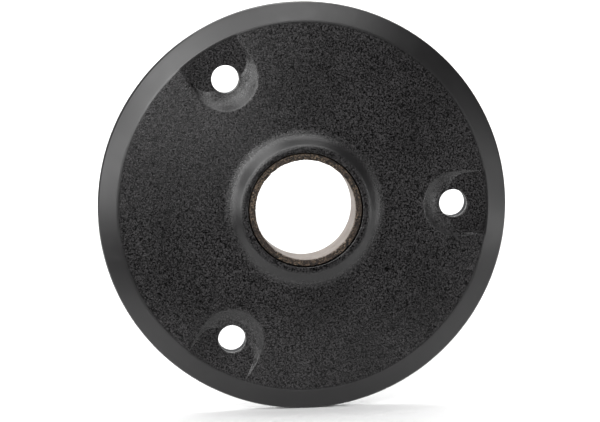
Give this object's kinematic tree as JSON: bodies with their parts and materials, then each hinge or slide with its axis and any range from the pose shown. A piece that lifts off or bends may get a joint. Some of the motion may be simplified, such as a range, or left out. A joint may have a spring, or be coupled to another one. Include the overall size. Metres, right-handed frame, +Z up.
{
  "type": "bearing end plate",
  "caption": "Round black grained plate with a bevelled rim, a raised hub holding a sintered bush, and screw holes in pockets that open towards the rim.",
  "frame": {"origin": "centre of the overall box: on the bore's axis, half way between the hub's front land and the spigot's end", "axes": "+Z up, bore axis along Y, front of the plate towards -Y, first screw hole on +X"},
  "size_m": [0.104, 0.014, 0.104],
  "materials": {
    "plate": "fine leather grain on the face and the pocket floors, smooth satin on the bevel and the hub's slope",
    "bush": "sintered bronze, granular and oil-stained, with a sized bore",
    "ring": "stamped spring steel",
    "sleeve": "turned and zinc plated",
    "gasket": "matt moulded rubber"
  },
  "bodies": {
    "root": {"end_plate": "plate", "bearing_bush": "bush", "bush_retaining_ring": "ring", "compression_sleeve_1": "sleeve", "compression_sleeve_2": "sleeve", "compression_sleeve_3": "sleeve", "rim_gasket": "gasket"}
  },
  "joints": []
}
